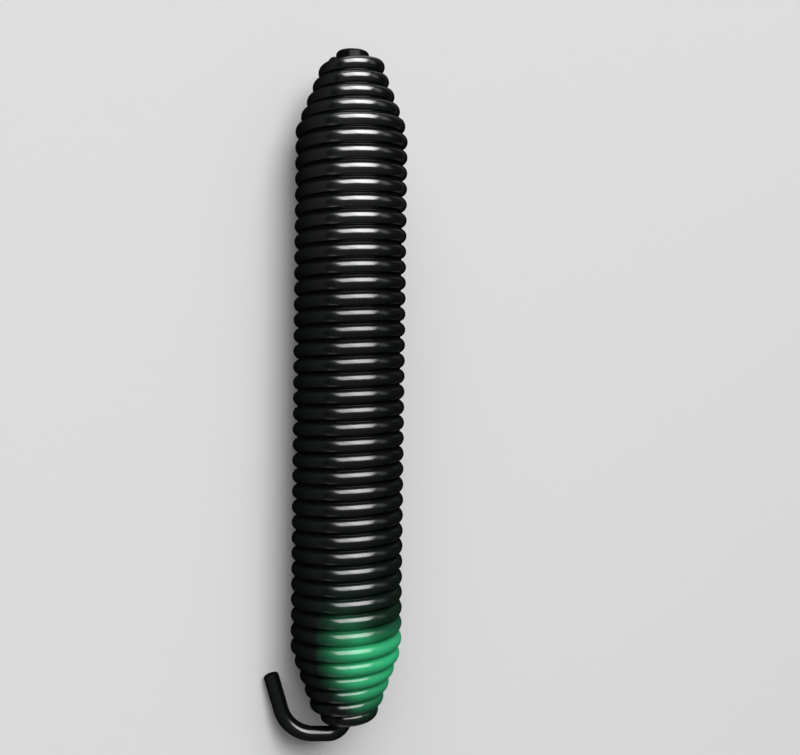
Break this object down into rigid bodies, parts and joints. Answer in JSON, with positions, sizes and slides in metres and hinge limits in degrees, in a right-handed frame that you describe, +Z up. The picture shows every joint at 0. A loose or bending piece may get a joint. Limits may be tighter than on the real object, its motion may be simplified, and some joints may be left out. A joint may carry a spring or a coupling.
{
  "type": "barrier arm spring",
  "caption": "Closed-coil tension spring with coned ends, a swivel hook at one end and a tapped plug at the other, for balancing a barrier arm.",
  "frame": {"origin": "on the ground, under the middle of the lying spring's bounding box", "axes": "+X along the spring's axis from the hook to the plug, +Z up, +Y to the side that the hook is turned to"},
  "size_m": [0.2724, 0.0476, 0.044],
  "materials": {
    "black_enamel": "gloss"
  },
  "bodies": {
    "spring": {"coil_spring": "black_enamel", "threaded_plug": "black_enamel"},
    "hook": {"swivel_hook": "black_enamel"}
  },
  "joints": [
    {"name": "hook_swivel", "type": "hinge", "parent": "spring", "child": "hook", "pos_m": [-0.1242, -0.00181, 0.022], "axis": [1, 0, 0], "continuous": true}
  ]
}
